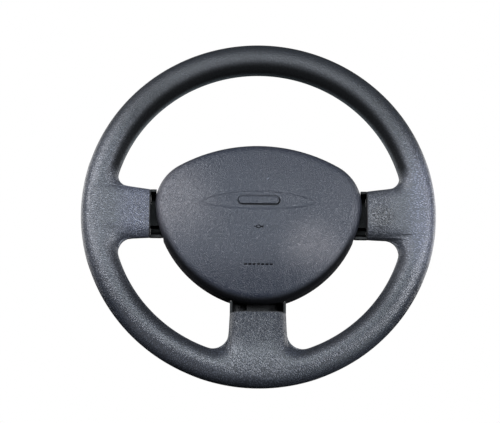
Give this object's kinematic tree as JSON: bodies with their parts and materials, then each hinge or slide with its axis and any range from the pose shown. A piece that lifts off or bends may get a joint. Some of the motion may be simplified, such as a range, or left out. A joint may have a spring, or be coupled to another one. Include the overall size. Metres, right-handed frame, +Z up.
{
  "type": "car steering wheel",
  "caption": "Three-spoke car steering wheel with a round foam rim and a rounded centre pad that covers the airbag module and is pressed as the horn button.",
  "frame": {"origin": "middle of the hub's rear face, where the column's end comes in", "axes": "+X to the driver's right, +Y away from the driver along the column, +Z up with the wheel straight ahead"},
  "size_m": [0.37, 0.0957, 0.37],
  "materials": {
    "rim_foam": "integral-skin polyurethane foam with a leather grain, dark slate grey",
    "pad_skin": "soft moulded plastic with a very fine grain, dark slate grey",
    "shroud_plastic": "black moulded plastic, finely textured",
    "cast_metal": "die-cast magnesium with a thin black coating",
    "hub_steel": "turned steel",
    "plated_steel": "zinc-plated pressed steel",
    "screw_steel": "black phosphated steel",
    "gold_steel": "yellow passivated steel",
    "spring_steel": "drawn spring wire",
    "contact_brass": "brass contact rivets",
    "bush_plastic": "natural acetal",
    "inflator_steel": "drawn steel can",
    "socket_plastic": "orange connector plastic",
    "cushion_cloth": "folded woven nylon",
    "rivet_alloy": "blind rivets"
  },
  "bodies": {
    "wheel": {"rim_grip": "rim_foam", "rim_core": "hub_steel", "armature": "cast_metal", "hub_insert": "hub_steel", "rear_shroud": "shroud_plastic", "shroud_screws": "screw_steel", "guide_screws": "gold_steel", "horn_springs": "spring_steel", "fixed_contacts": "contact_brass"},
    "airbag_module": {"horn_plate": "plated_steel", "guide_bushes": "bush_plastic", "moving_contacts": "contact_brass", "horn_terminal": "contact_brass", "module_bolts": "screw_steel", "weld_nuts": "plated_steel", "module_tray": "plated_steel", "inflator": "inflator_steel", "squib_socket": "socket_plastic", "cushion_retainer": "plated_steel", "retainer_nuts": "gold_steel", "cushion_pack": "cushion_cloth", "pad_cover": "pad_skin", "cover_rivets": "rivet_alloy"}
  },
  "joints": [
    {"name": "horn_press", "type": "slide", "parent": "wheel", "child": "airbag_module", "axis": [0, 1, 0], "range_m": [0, 0.0025], "stiffness_N_per_m": 8000, "springref_m": -0.002, "deforming": ["horn_springs"]}
  ]
}
